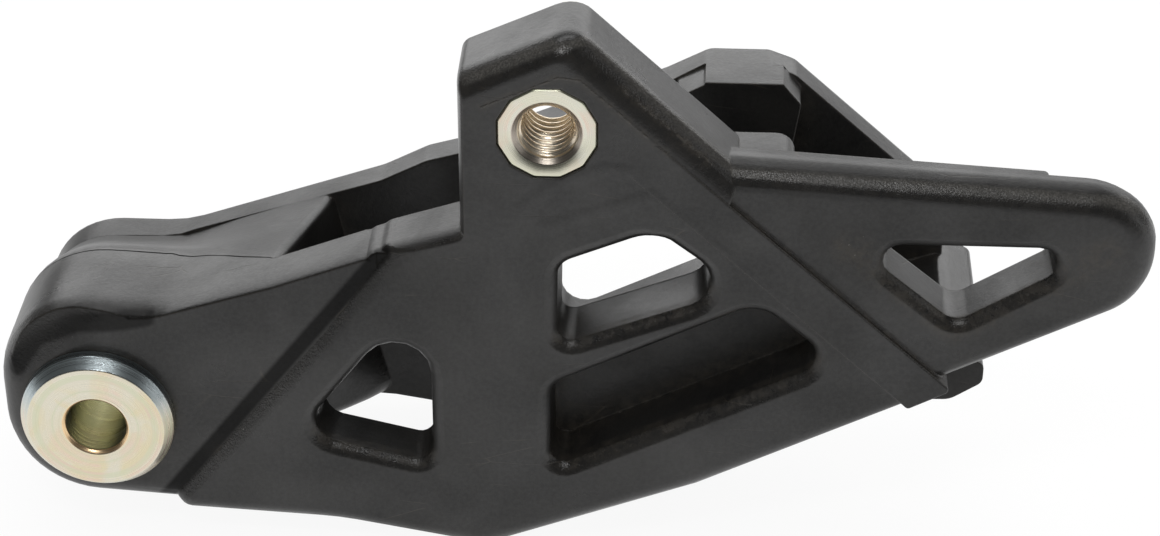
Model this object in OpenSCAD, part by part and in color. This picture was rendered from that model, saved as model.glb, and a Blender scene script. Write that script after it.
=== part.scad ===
// Rear chain guide for an off-road motorcycle.
// One moulded nylon body holds a flanged steel bush in its nose and a threaded
// steel insert in its ear. X runs along the chain, Y from the outer side of the
// guide to the wheel side and Z up. The origin is on the bush axis, in the plane
// of the outer face. All lengths are in millimetres.

/* [Bush] */
// Bore of the bush, clearance for its bolt
bush_bore_d = 8.4; // [8:0.1:9]
// Outer diameter of the barrel that fills the nose
bush_barrel_d = 13; // [11:0.5:15]
// Diameter of the flange
flange_d = 21.6; // [18:0.2:23]
// Thickness of the flange
flange_t = 3; // [2:0.1:4]
// Width of the chamfer on the rim of the flange, on the face
flange_bevel_w = 1.1; // [0.3:0.1:1.6]
// Depth of the chamfer on the rim of the flange, along the axis
flange_bevel_t = 1.8; // [0.5:0.1:1.9]

/* [Threaded insert] */
// Distance from bush axis to insert axis along the guide
insert_x = 63.1; // [58:0.1:66]
// Height of insert axis above bush axis
insert_z = 47.7; // [45:0.1:50]
// Size of the insert across its corners
insert_d = 13.8; // [12:0.1:15]
// Inner diameter of the thread
thread_d = 6.8; // [5:0.1:8]
// Diameter of the countersink at the mouth of the thread
thread_mouth_d = 9.4; // [8.6:0.1:11]

/* [Widths across the guide] */
// Overall width, from the outer face to the wheel side face
guide_w = 40; // [38:0.5:46]
// Thickness of the outer wall
near_wall_t = 9; // [8.5:0.1:11]
// Thickness of the ear that holds the insert
ear_t = 12; // [11:0.1:14]
// Depth of the thick core behind the windows, from the outer face
core_t = 13.7; // [12.5:0.1:16]
// Thickness of the inner wall
far_wall_t = 6.5; // [5:0.1:8]
// Step from the outer face down to the face of the nose
nose_step = 1.3; // [0.5:0.1:2]
// Step from the outer face down to the face of the wing
wing_step = 0.8; // [0.4:0.1:1.5]
// Depth of the back face of the wing from the outer face
wing_back = 8.5; // [8:0.1:9.5]
// Distance from the bush axis to the tip of the wing, which sets the length
wing_x = 144; // [142:0.5:150]

/* [Edges] */
// Rounding of the outer edges of the body
edge_r = 3; // [1:0.1:3.5]
// Rounding of the edge of the nose
nose_edge_r = 4.2; // [2:0.1:5]
// Rounding of the edge of the ear
ear_edge_r = 4; // [2:0.1:4.5]
// Rounding of the edge of the wing
wing_edge_r = 3.6; // [2:0.1:4]
// Width of the rolled lip round each window
lip_w = 2.6; // [1:0.1:3]
// Depth of the blind pocket
pocket_depth = 8.2; // [5:0.1:10]

/* [Hidden] */
// Points along each rounded corner
corner_steps = 6;
// Points along a corner with a radius over the given one
big_steps = 12;
big_r = 7;
// Rings along each rounded edge
edge_steps = 5;
// Steps along the rolled lip of an opening, and the slopes at its start and its end
lip_steps = 3;
lip_start = 16;
lip_end = 62;
// How much narrower an opening gets from its crisp edge to its back
wall_draft = 0.3;
// Thickness of the slices that a cutter is hulled from
slice_t = 0.05;
// Overlap of parts that are joined, and overshoot of parts that are cut away
over = 0.2;
far_inner = guide_w - far_wall_t;
// Height of the low rib on the outer face
rib_step = 0.25;
// Depth of the back of the strip on the wing
strip_back = 7.2;
// Rounding of the wheel side of the inner wall, and thickness of the pad on its peak
far_edge_r = 2.2;
peak_t = 5.5;
// Sides of the insert, turned so that two of them stand upright
insert_sides = 12;
insert_turn = 15;

// Outlines seen from the outer side. Each corner is [x, z, corner radius, share],
// where share says how much of the edge rounding the side that starts there gets.
nose_outline = [
    [-13.9, -14.0, 13.4, 1], [24, -16.6, 3, 0], [42, 28.5, 2, 0.08],
    [25.6, 22.2, 30, 0.08], [10.2, 17.2, 12, 0.3], [-13.9, 17.9, 13.6, 1]
];
body_outline = [
    [7.2, -15.6, 2.5, 0.9], [33, -17.0, 40, 0.9], [53.5, -20.6, 7, 0.9], [84, -8.5, 60, 0.9],
    [112.9, 6.3, 1.2, 0.9], [118.2, 9.0, 1.2, 0],
    [78.4, 45.6, 1, 0], [52, 45.6, 1, 0], [52, 32.2, 1, 0.35], [40.8, 28.5, 3, 1.5],
    [31.8, 15.5, 40, 1.5]
];
// Low rib between the body and the wing
rib_outline = [
    [112.4, 6.2, 0.6, 1], [118.2, 9.0, 0.6, 1], [77, 46.7, 1, 6], [73.2, 42.3, 1, 1]
];
ear_outline = [
    [insert_x - 11.9, 22, 1, 0], [insert_x + 18.9, 22, 1, 0], [88.4, 41.4, 1, 1],
    [insert_x + 2.5, insert_z + 14.3, 4.5, 0.75], [insert_x - 11.9, insert_z + 7.2, 2, 0.25]
];
wing_outline = [
    [80, 20, 1, 0], [112.5, 7, 1, 0.7], [wing_x, 24.2, 9.5, 1], [wing_x, 40.2, 10, 1],
    [80, 43, 1, 0]
];
// Flat strip along the back of the top of the wing
strip_outline = [[84, 34, 1, 0], [129.4, 34, 1, 0], [129.4, 40.6, 0.8, 0], [84, 42.6, 1, 0]];
core_outline = [
    [52.4, -17.2, 2, 0], [59, -16.5, 4, 0], [84, -6.6, 20, 0], [114, 8.5, 2, 0],
    [95.8, 27, 3, 0], [95.8, 41.0, 2.6, 0], [52.4, 41.0, 1, 0]
];
floor_outline = [
    [50, -20, 2, 0], [57, -20.3, 6, 0], [84, -12, 20, 0], [113.5, 1.5, 6, 0],
    [118.9, 1.6, 3, 0], [123.3, 4.6, 1.6, 0], [123.3, 7.6, 1.4, 0], [118.4, 10.6, 3, 0],
    [50, -14, 1, 0]
];
far_outline = [
    [-13.8, -13.9, 11.9, 1], [38, -17.4, 10, 1], [55, -20.3, 8, 1], [84, -12, 20, 1],
    [112, 0.4, 4, 1], [118.6, 5, 2, 1], [118.6, 18.8, 2.5, 1], [96.2, 39.2, 3, 1],
    [92.5, 40.6, 2, 1], [84, 40.6, 3, 1], [78, 37.4, 4, 1], [49, 25.2, 8, 1],
    [43.5, 23.6, 5, 1], [37, 20.2, 10, 1], [7, 9.7, 16, 1], [-13.8, 9.7, 11.4, 1]
];
peak_outline = [
    [79.4, 24, 1, 0], [95, 24, 1, 0], [97, 37.4, 1, 0], [94.5, 40.4, 1.6, 0], [83.8, 40.4, 2, 0],
    [79.4, 38, 1, 0]
];

// Outlines of the nose block at its two ends. Its top is level as far as the parting
// line, which is a table of place along the guide and depth, and then falls.
block_near = [
    [-13.9, -14.0, 13.4, 1], [16.5, -16.05, 2, 1], [26, 22.32, 1.2, 1], [10.2, 17.2, 12, 1],
    [-13.9, 17.9, 13.6, 1]
];
block_far = [
    [-13.8, -13.9, 11.9, 1], [38, -17.2, 2, 1], [29.8, 15.1, 1.2, 1], [8, 9.7, 16, 1],
    [-13.8, 9.7, 11.4, 1]
];
parting_line = [[2, 17], [9, 16.8], [15, 14.4], [20, 11.8], [25, near_wall_t]];
// How much of the fall is rounded rather than straight, along the guide
fall_round = [[9, 0.5], [24, 0]];
block_depths = [0, 0.17, 0.33, 0.43, 0.53, 0.65, 0.77, 0.89, 1];
block_inset = 0.02;
side_steps = 3;

// Facet across the upper corner of the nose, from its chord on the face of the nose
facet_x = 8.1;
facet_z = 17.9;
facet_rise = 33;
facet_tilt = 17;
facet_size = 40;

// Outlines of the openings, crisp edge where the rolled lip meets the wall
front_window = [[27.8, -1.9, 3.6, 1], [46.9, -6.5, 2.4, 1], [46.9, 23.3, 4.9, 1]];
middle_window = [
    [64.2, 13.9, 2, 1], [88.9, 23.6, 4.2, 1], [77.1, 33.5, 5, 1], [64.4, 28.1, 3, 1]
];
// Wider way for the middle window through the core
core_window = [
    [64, 9.4, 2, 1], [90.5, 19.9, 3, 1], [89, 29, 4, 1], [77.1, 34.1, 5, 1], [64, 28.6, 3, 1]
];
pocket = [
    [63.3, -6.9, 2, 1], [102.2, 12.7, 3.2, 1], [91.4, 21.6, 5, 1], [63.3, 7.5, 3, 1]
];
wing_window = [[118, 18.9, 3, 1], [137.1, 31, 2.5, 1], [103.4, 31, 2.5, 1]];
far_window = [
    [62.8, -5.8, 3.6, 1], [90, 7.9, 4, 1], [90, 17, 4, 1], [62.8, 12, 4, 1]
];

function unit(v) = v / norm(v);
function left_of(v) = [-v[1], v[0]];
function turned(v, a) = [v[0] * cos(a) - v[1] * sin(a), v[0] * sin(a) + v[1] * cos(a)];
function flat2(p) = [p[0], p[1]];

// Corner i of an outline after each side moves inward by its share of d
function moved_corner(outline, i, d) =
    let (n = len(outline), before = outline[(i + n - 1) % n], at = outline[i],
         next = outline[(i + 1) % n],
         a = left_of(unit(flat2(at) - flat2(before))),
         b = left_of(unit(flat2(next) - flat2(at))),
         da = d * before[3], db = d * at[3], c = a * b)
    abs(da - db) < 0.0001
        ? flat2(at) + da * (a + b) / (1 + c)
        : flat2(at) + ((da - db * c) * a + (db - da * c) * b) / (1 - c * c);

// Turn of an outline at corner i, in degrees, positive to the left
function turn_at(outline, i) =
    let (n = len(outline), at = flat2(outline[i]),
         u = unit(at - flat2(outline[(i + n - 1) % n])),
         v = unit(flat2(outline[(i + 1) % n]) - at))
    atan2(u[0] * v[1] - u[1] * v[0], u * v);

// Steps that the arc at a corner takes, fewer where the outline hardly turns
function steps_at(outline, i) =
    let (turn = abs(turn_at(outline, i)))
    turn < 6 ? 0 : turn < 25 ? 2 : turn < 50 ? 4
        : outline[i][2] > big_r ? big_steps : corner_steps;

// Rounded corner i of an outline that has moved inward by d, as an arc in given steps
function corner_arc(outline, i, d, steps) =
    let (n = len(outline), q = moved_corner(outline, i, d),
         before = moved_corner(outline, (i + n - 1) % n, d),
         next = moved_corner(outline, (i + 1) % n, d),
         u = unit(q - before), v = unit(next - q),
         turn = atan2(u[0] * v[1] - u[1] * v[0], u * v),
         side = turn < 0 ? -1 : 1,
         share = (outline[(i + n - 1) % n][3] + outline[i][3]) / 2,
         r = max(outline[i][2] - side * d * share, 0.4),
         reach = r * tan(abs(turn) / 2),
         centre = q - u * reach + side * r * left_of(u))
    steps == 0
        ? [q]
        : [for (k = [0 : steps]) centre - side * r * turned(left_of(u), turn * k / steps)];

// Closed ring of an outline that has moved inward by d, with the arcs of another outline
function ring(outline, d, like = undef) =
    let (model = is_undef(like) ? outline : like)
    [for (i = [0 : len(outline) - 1]) each corner_arc(outline, i, d, steps_at(model, i))];

// Solid skin through rings of equal length, each at its own depth
module skin(rings, depths) {
    n = len(rings[0]);
    last = len(rings) - 1;
    points = [for (i = [0 : last]) for (p = rings[i]) [p[0], depths[i], p[1]]];
    sides = [
        for (i = [0 : last - 1]) for (j = [0 : n - 1])
            let (k = (j + 1) % n, here = i * n, next = (i + 1) * n)
            each [[here + j, here + k, next + k], [here + j, next + k, next + j]]
    ];
    front = [[for (j = [n - 1 : -1 : 0]) j]];
    back = [[for (j = [0 : n - 1]) last * n + j]];
    polyhedron(points, concat(front, sides, back), convexity = 8);
}

// Plate with a rounded edge at its start and a smaller one at its end
module plate(outline, start, end, r_start, r_end = 0) {
    angles = [for (k = [0 : edge_steps]) 90 * k / edge_steps];
    first = [for (a = angles) [start + r_start * (1 - cos(a)), r_start * (1 - sin(a))]];
    closing = r_end > 0
        ? [for (k = [edge_steps : -1 : 0]) let (a = angles[k])
            [end - r_end * (1 - cos(a)), r_end * (1 - sin(a))]]
        : [[end, 0]];
    stations = r_start > 0 ? concat(first, closing) : concat([[start, 0]], closing);
    skin([for (s = stations) ring(outline, s[1])], [for (s = stations) s[0]]);
}

// Thin slice of an outline that has moved inward by d, at depth y
module slice(outline, d, y) {
    translate([0, y + slice_t, 0])
        rotate([90, 0, 0])
            linear_extrude(slice_t)
                polygon(ring(outline, d));
}

// Cutter for an opening with a rolled lip that ends in a crisp edge. The lip and the
// drafted wall behind it are hulls from one slice to the next.
module opening(outline, face, depth) {
    angles = [for (k = [0 : lip_steps]) lip_start + (lip_end - lip_start) * k / lip_steps];
    lip = [for (a = angles) lip_w * [sin(lip_end) - sin(a), cos(lip_start) - cos(a)]];
    stations = concat([[lip[0][0] + 1, -1]], lip, [[-wall_draft, depth - face]]);
    for (i = [1 : len(stations) - 1])
        hull() {
            slice(outline, -stations[i - 1][0], face + stations[i - 1][1]);
            slice(outline, -stations[i][0], face + stations[i][1]);
        }
}

// Ring with each side cut in equal steps
function densified(points) =
    [for (i = [0 : len(points) - 1]) for (k = [0 : side_steps - 1])
        points[i] + (points[(i + 1) % len(points)] - points[i]) * k / side_steps];

// Share of the way from the near to the far outline, at place x and depth y
function fallen(x, y) =
    let (from = lookup(x, parting_line), t = min(max((y - from) / (far_inner - from), 0), 1),
         bent = lookup(x, fall_round))
    (1 - bent) * t + bent * t * t * (3 - 2 * t);

// Nose block between the two walls
module nose_block() {
    near = densified(ring(block_near, block_inset));
    far = densified(ring(block_far, block_inset, block_near));
    depths = [for (t = block_depths) near_wall_t + t * (far_inner - near_wall_t)];
    rings = [for (y = depths)
        [for (i = [0 : len(near) - 1]) near[i] + (far[i] - near[i]) * fallen(near[i][0], y)]];
    skin(concat([near], rings, [far]),
         concat([near_wall_t - 2 * over], depths, [far_inner + 2 * over]));
}

// Cutter for the facet of the nose
module nose_facet() {
    translate([facet_x, nose_step, facet_z])
        rotate([0, -facet_rise, 0])
            rotate([-facet_tilt, 0, 0])
                translate([-facet_size, -facet_size, 0])
                    cube([2 * facet_size, facet_size, facet_size / 2]);
}

module guide_body() {
    color([0.10, 0.10, 0.10])
    difference() {
        union() {
            difference() {
                plate(nose_outline, nose_step, near_wall_t, nose_edge_r);
                nose_facet();
            }
            plate(body_outline, 0, near_wall_t, edge_r);
            plate(rib_outline, -rib_step, near_wall_t / 2, rib_step);
            plate(ear_outline, 0, ear_t, ear_edge_r, 0.5);
            plate(wing_outline, wing_step, wing_back, wing_edge_r, wing_edge_r);
            plate(strip_outline, near_wall_t / 2, strip_back, 0, 0.3);
            plate(core_outline, near_wall_t - over, core_t, 0);
            plate(floor_outline, near_wall_t - over, guide_w - 1, 0);
            plate(far_outline, far_inner, guide_w, 0, far_edge_r);
            plate(peak_outline, far_inner - peak_t, far_inner + over, 0);
            nose_block();
        }
        opening(front_window, 0, near_wall_t + over);
        opening(middle_window, 0, near_wall_t + over);
        hull() {
            slice(core_window, 0, near_wall_t);
            slice(core_window, 0, core_t + over);
        }
        opening(pocket, 0, pocket_depth);
        opening(wing_window, wing_step, wing_back + over);
        hull() {
            slice(far_window, 0, far_inner - over);
            slice(far_window, 0, guide_w + over);
        }
        translate([0, -over, 0])
            rotate([-90, 0, 0])
                cylinder(h = guide_w + 2 * over, d = bush_barrel_d, $fn = 64);
        translate([insert_x, -over, insert_z])
            rotate([-90, 0, 0])
                rotate([0, 0, insert_turn])
                    cylinder(h = ear_t + 2 * over, d = insert_d, $fn = insert_sides);
    }
}

module flanged_bush() {
    color([0.80, 0.76, 0.62])
    translate([0, nose_step - flange_t, 0])
        rotate([-90, 0, 0])
            rotate_extrude($fn = 96)
                polygon([
                    [bush_bore_d / 2 + 0.5, 0],
                    [flange_d / 2 - flange_bevel_w, 0],
                    [flange_d / 2, flange_bevel_t],
                    [flange_d / 2, flange_t],
                    [bush_barrel_d / 2, flange_t],
                    [bush_barrel_d / 2, guide_w + flange_t - nose_step],
                    [bush_bore_d / 2, guide_w + flange_t - nose_step],
                    [bush_bore_d / 2, 0.5]
                ]);
}

module threaded_insert() {
    mouth = (thread_mouth_d - thread_d) / 2;
    color([0.78, 0.77, 0.68])
    translate([insert_x, 0, insert_z])
        rotate([-90, 0, 0])
            difference() {
                rotate([0, 0, insert_turn])
                    cylinder(h = ear_t, d = insert_d, $fn = insert_sides);
                translate([0, 0, -over])
                    cylinder(h = ear_t + 2 * over, d = thread_d, $fn = 48);
                translate([0, 0, -over])
                    cylinder(h = mouth + over, d1 = thread_mouth_d + 2 * over, d2 = thread_d, $fn = 48);
                translate([0, 0, ear_t - mouth])
                    cylinder(h = mouth + over, d1 = thread_d, d2 = thread_mouth_d + 2 * over, $fn = 48);
            }
}

guide_body();
flanged_bush();
threaded_insert();
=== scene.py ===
"""Looks of the moulded chain guide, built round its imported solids.

The moulded nylon body is a smoothed copy of its solid. The flanged bush and the
threaded insert are modelled again with their bevels, turning marks and thread.
Lengths are in metres, in the frame of the solids: X along the chain, Y from the
outer side to the wheel side, Z up, with the origin on the axis of the bush.
"""

import logging
import math
from dataclasses import dataclass
from enum import Enum

import bmesh
import bpy
from mathutils import Matrix, Vector

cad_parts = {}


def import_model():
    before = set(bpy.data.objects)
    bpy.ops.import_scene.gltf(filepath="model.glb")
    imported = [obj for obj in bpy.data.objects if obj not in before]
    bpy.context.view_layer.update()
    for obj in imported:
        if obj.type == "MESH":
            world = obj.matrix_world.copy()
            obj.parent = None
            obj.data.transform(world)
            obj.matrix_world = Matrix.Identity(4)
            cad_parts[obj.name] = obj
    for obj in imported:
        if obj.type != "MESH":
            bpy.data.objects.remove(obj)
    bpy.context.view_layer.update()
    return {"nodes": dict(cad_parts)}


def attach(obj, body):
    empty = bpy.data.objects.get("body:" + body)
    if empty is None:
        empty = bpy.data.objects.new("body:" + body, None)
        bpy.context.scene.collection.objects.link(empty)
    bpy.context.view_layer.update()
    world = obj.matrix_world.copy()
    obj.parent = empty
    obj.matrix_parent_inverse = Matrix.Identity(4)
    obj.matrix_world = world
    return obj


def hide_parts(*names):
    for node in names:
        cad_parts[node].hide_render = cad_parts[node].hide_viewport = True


MM = 0.001
BODY = "root"
log = logging.getLogger("chain_guide")

Colour = tuple[float, float, float]
Line = tuple[float, float, float, float]
Socket = bpy.types.NodeSocket
Masks = dict[str, Socket]


class Zone(Enum):
    """Part of a turned piece, by its distance from the axis."""

    BORE = "bore"
    MOUTH = "mouth"
    RIM = "rim"


def rgba(colour: Colour) -> tuple[float, float, float, float]:
    """Gives a linear colour its alpha."""
    return (*colour, 1.0)


class Graph:
    """Short hand for making and joining nodes in one node tree."""

    def __init__(self, tree: bpy.types.NodeTree) -> None:
        """Keeps the tree that nodes are made in."""
        self.tree = tree

    def node(self, kind: str, **values: object) -> bpy.types.Node:
        """Makes a node.

        Args:
            kind: Blender's name of the node type, without its Node prefix.
            values: properties of the node, set as they are.

        Returns:
            The new node.
        """
        made = self.tree.nodes.new(kind)
        for name, value in values.items():
            setattr(made, name, value)
        return made

    def feed(self, socket: Socket, source: object) -> None:
        """Joins an output to an input socket, or sets the socket's plain value."""
        if isinstance(source, Socket):
            self.tree.links.new(source, socket)
        else:
            socket.default_value = source

    def math(self, operation: str, *sources: object, clamp: bool = False) -> Socket:
        """Makes a Math node.

        Args:
            operation: the operation, such as MULTIPLY.
            sources: outputs or numbers for its inputs, in order.
            clamp: whether the result is kept between 0 and 1.

        Returns:
            The output of the node.
        """
        made = self.node("ShaderNodeMath", operation=operation, use_clamp=clamp)
        for socket, source in zip(made.inputs, sources):
            self.feed(socket, source)
        return made.outputs[0]

    def times(self, first: object, second: object) -> Socket:
        """Multiplies two outputs or numbers."""
        return self.math("MULTIPLY", first, second)

    def most(self, first: object, second: object) -> Socket:
        """Gives the larger of two outputs or numbers."""
        return self.math("MAXIMUM", first, second)

    def parts(self, place: Socket) -> bpy.types.bpy_prop_collection:
        """Parts a vector into outputs named X, Y and Z."""
        made = self.node("ShaderNodeSeparateXYZ")
        self.feed(made.inputs[0], place)
        return made.outputs

    def vector(self, operation: str, *sources: object) -> Socket:
        """Makes a Vector Math node.

        Args:
            operation: the operation, such as ADD.
            sources: outputs or three numbers for its inputs, in order.

        Returns:
            The output of the node, a number for DOT_PRODUCT and LENGTH.
        """
        made = self.node("ShaderNodeVectorMath", operation=operation)
        for socket, source in zip(made.inputs, sources):
            self.feed(socket, source)
        number = operation in ("DOT_PRODUCT", "LENGTH")
        return made.outputs["Value" if number else "Vector"]

    def ramp(self, source: object, low: object, high: object,
             to_low: float = 0.0, to_high: float = 1.0) -> Socket:
        """Maps a value smoothly from one range to another.

        Args:
            source: the output that is mapped.
            low: start of the range it comes from, an output or a number.
            high: end of the range it comes from, an output or a number.
            to_low: start of the range it goes to.
            to_high: end of the range it goes to.

        Returns:
            The mapped value.
        """
        made = self.node("ShaderNodeMapRange", interpolation_type="SMOOTHSTEP")
        for socket, value in zip(made.inputs, (source, low, high, to_low, to_high)):
            self.feed(socket, value)
        return made.outputs[0]

    def blend(self, factor: object, first: object, second: object) -> Socket:
        """Mixes two colours.

        Args:
            factor: share of the second colour, an output or a number.
            first: colour at factor 0, an output or four numbers.
            second: colour at factor 1, an output or four numbers.

        Returns:
            The mixed colour.
        """
        made = self.node("ShaderNodeMix", data_type="RGBA", blend_type="MIX")
        self.feed(made.inputs[0], factor)
        self.feed(made.inputs[6], first)
        self.feed(made.inputs[7], second)
        return made.outputs[2]

    def over(self, base: object, mask: Socket, share: float,
             colour: Colour) -> Socket:
        """Lays a colour over another one by a share of a mask."""
        return self.blend(self.times(mask, share), base, rgba(colour))

    def noise(self, place: object, scale: object, detail: float = 2.0,
              rough: float = 0.5, stretch: float = 0.0) -> Socket:
        """Makes a Noise Texture.

        Args:
            place: coordinates that it reads.
            scale: cells per metre, an output or a number.
            detail: number of finer octaves.
            rough: strength of the finer octaves.
            stretch: distortion of the pattern.

        Returns:
            The value of the noise.
        """
        made = self.node("ShaderNodeTexNoise")
        self.feed(made.inputs["Vector"], place)
        self.feed(made.inputs["Scale"], scale)
        self.feed(made.inputs["Detail"], detail)
        self.feed(made.inputs["Roughness"], rough)
        self.feed(made.inputs["Distortion"], stretch)
        return made.outputs[0]


def new_group(name: str, inputs: dict[str, tuple[str, object]],
              outputs: dict[str, str]) -> tuple[bpy.types.NodeTree, Graph, dict, dict]:
    """Starts a shader node group with named sockets.

    Args:
        name: name of the group.
        inputs: socket type and default value for each input name.
        outputs: socket type for each output name.

    Returns:
        The group, its graph, its inputs as outputs to read, and its outputs to feed.
    """
    tree = bpy.data.node_groups.new(name, "ShaderNodeTree")
    for label, (kind, value) in inputs.items():
        socket = tree.interface.new_socket(label, in_out="INPUT", socket_type=kind)
        if value is not None:
            socket.default_value = value
    for label, kind in outputs.items():
        tree.interface.new_socket(label, in_out="OUTPUT", socket_type=kind)
    graph = Graph(tree)
    start = graph.node("NodeGroupInput")
    end = graph.node("NodeGroupOutput")
    read = {label: start.outputs[label] for label in inputs}
    write = {label: end.inputs[label] for label in outputs}
    return tree, graph, read, write


def new_material(name: str) -> tuple[bpy.types.Material, Graph, bpy.types.Node]:
    """Starts a material.

    Args:
        name: name of the material.

    Returns:
        The material, its graph and its Principled shader.
    """
    material = bpy.data.materials.new(name)
    material.use_nodes = True
    return material, Graph(material.node_tree), material.node_tree.nodes["Principled BSDF"]


def grain_group() -> bpy.types.NodeTree:
    """Builds the group that gives uneven patches and fine grain.

    Returns:
        A group with a mask of broad patches and a height.
    """
    tree, graph, read, write = new_group(
        "surface_grain",
        {
            "Place": ("NodeSocketVector", None),
            "Patch scale": ("NodeSocketFloat", 90.0),
            "Grain scale": ("NodeSocketFloat", 2200.0),
        },
        {"Patches": "NodeSocketFloat", "Height": "NodeSocketFloat"},
    )
    patches = graph.noise(read["Place"], read["Patch scale"], 4.0, 0.62, 0.6)
    grain = graph.noise(read["Place"], read["Grain scale"], 3.0, 0.6)
    graph.feed(write["Patches"], graph.ramp(patches, 0.3, 0.7))
    mixed = graph.times(patches, 1.6)
    graph.feed(write["Height"], graph.math("ADD", mixed, graph.times(grain, 0.35)))
    return tree


def edge_group() -> bpy.types.NodeTree:
    """Builds the group that finds rubbed edges and hollows where dust sits.

    Returns:
        A group with a mask of edges, a mask of hollows and a softened normal.
    """
    tree, graph, read, write = new_group(
        "edges_and_hollows",
        {"Radius": ("NodeSocketFloat", 0.0005), "Reach": ("NodeSocketFloat", 0.003)},
        {"Edges": "NodeSocketFloat", "Hollows": "NodeSocketFloat", "Normal": "NodeSocketVector"},
    )
    soft = graph.node("ShaderNodeBevel", samples=6)
    graph.feed(soft.inputs["Radius"], read["Radius"])
    geometry = graph.node("ShaderNodeNewGeometry")
    facing = graph.vector("DOT_PRODUCT", soft.outputs[0], geometry.outputs["Normal"])
    turned = graph.ramp(graph.math("SUBTRACT", 1.0, facing), 0.01, 0.16)
    hollow = graph.node("ShaderNodeAmbientOcclusion", samples=6)
    graph.feed(hollow.inputs["Distance"], read["Reach"])
    hidden = graph.ramp(graph.math("SUBTRACT", 1.0, hollow.outputs["AO"]), 0.08, 0.6)
    graph.feed(write["Hollows"], hidden)
    graph.feed(write["Edges"], graph.times(turned, graph.math("SUBTRACT", 1.0, hidden)))
    graph.feed(write["Normal"], soft.outputs[0])
    return tree


def speck_group() -> bpy.types.NodeTree:
    """Builds the group that scatters tiny specks of lint and dust.

    Returns:
        A group with a mask of specks.
    """
    tree, graph, read, write = new_group(
        "lint_specks",
        {
            "Place": ("NodeSocketVector", None),
            "Scale": ("NodeSocketFloat", 260.0),
            "Share": ("NodeSocketFloat", 0.2),
        },
        {"Mask": "NodeSocketFloat"},
    )
    cells = graph.node("ShaderNodeTexVoronoi", feature="F1")
    graph.feed(cells.inputs["Vector"], read["Place"])
    graph.feed(cells.inputs["Scale"], read["Scale"])
    parts = graph.node("ShaderNodeSeparateColor")
    graph.feed(parts.inputs[0], cells.outputs["Color"])
    chosen = graph.math("LESS_THAN", parts.outputs[0], read["Share"])
    size = graph.times(graph.math("POWER", parts.outputs[1], 2.0), 0.055)
    dot = graph.math("LESS_THAN", cells.outputs["Distance"], size)
    graph.feed(write["Mask"], graph.times(dot, chosen))
    return tree


def line_group() -> bpy.types.NodeTree:
    """Builds the group that measures how far a place is from a line on the outer face.

    Returns:
        A group that puts out the distance, seen along Y.
    """
    tree, graph, read, write = new_group(
        "distance_to_line",
        {
            "Place": ("NodeSocketVector", None),
            "From": ("NodeSocketVector", (0.0, 0.0, 0.0)),
            "To": ("NodeSocketVector", (1.0, 0.0, 0.0)),
        },
        {"Distance": "NodeSocketFloat"},
    )
    flat = graph.vector("MULTIPLY", read["Place"], (1.0, 0.0, 1.0))
    reach = graph.vector("SUBTRACT", flat, read["From"])
    span = graph.vector("SUBTRACT", read["To"], read["From"])
    share = graph.math("DIVIDE", graph.vector("DOT_PRODUCT", reach, span),
                       graph.vector("DOT_PRODUCT", span, span), clamp=True)
    foot = graph.node("ShaderNodeVectorMath", operation="SCALE")
    graph.feed(foot.inputs[0], span)
    graph.feed(foot.inputs["Scale"], share)
    gap = graph.vector("SUBTRACT", reach, foot.outputs[0])
    graph.feed(write["Distance"], graph.vector("LENGTH", gap))
    return tree


def scratch_group() -> bpy.types.NodeTree:
    """Builds the group that gives long thin scratches, broken into short ones.

    Returns:
        A group with a mask of scratches.
    """
    tree, graph, read, write = new_group(
        "thin_scratches",
        {
            "Place": ("NodeSocketVector", None),
            "Turn": ("NodeSocketVector", (0.0, 0.6, 0.0)),
            "Scale": ("NodeSocketFloat", 150.0),
            "Width": ("NodeSocketFloat", 0.012),
        },
        {"Mask": "NodeSocketFloat"},
    )
    turned = graph.node("ShaderNodeMapping")
    graph.feed(turned.inputs["Vector"], read["Place"])
    graph.feed(turned.inputs["Rotation"], read["Turn"])
    turned.inputs["Scale"].default_value = (0.22, 0.7, 1.6)
    bend = graph.node("ShaderNodeTexNoise")
    graph.feed(bend.inputs["Vector"], read["Place"])
    bend.inputs["Scale"].default_value = 40.0
    shift = graph.node("ShaderNodeVectorMath", operation="SCALE")
    graph.feed(shift.inputs[0], bend.outputs["Color"])
    shift.inputs["Scale"].default_value = 0.004
    cells = graph.node("ShaderNodeTexVoronoi", feature="DISTANCE_TO_EDGE")
    graph.feed(cells.inputs["Vector"], graph.vector("ADD", turned.outputs[0], shift.outputs[0]))
    graph.feed(cells.inputs["Scale"], read["Scale"])
    line = graph.ramp(cells.outputs["Distance"], 0.0, read["Width"], 1.0, 0.0)
    kept = graph.ramp(graph.noise(read["Place"], 95.0, 3.0, 0.6), 0.54, 0.66)
    graph.feed(write["Mask"], graph.times(line, kept))
    return tree


@dataclass(frozen=True)
class Effects:
    """The node groups that the finishes share."""

    grain: bpy.types.NodeTree
    edges: bpy.types.NodeTree
    specks: bpy.types.NodeTree
    line: bpy.types.NodeTree
    scratches: bpy.types.NodeTree

    def place(self, graph: Graph, group: bpy.types.NodeTree, **values: object) -> dict:
        """Places a group in a material.

        Args:
            graph: graph of the material.
            group: the group that is placed.
            values: value or output for each input, by its name with _ for a space.

        Returns:
            The outputs of the placed group by name.
        """
        made = graph.node("ShaderNodeGroup", node_tree=group)
        for name, value in values.items():
            graph.feed(made.inputs[name.replace("_", " ")], value)
        return {socket.name: socket for socket in made.outputs}


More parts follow.
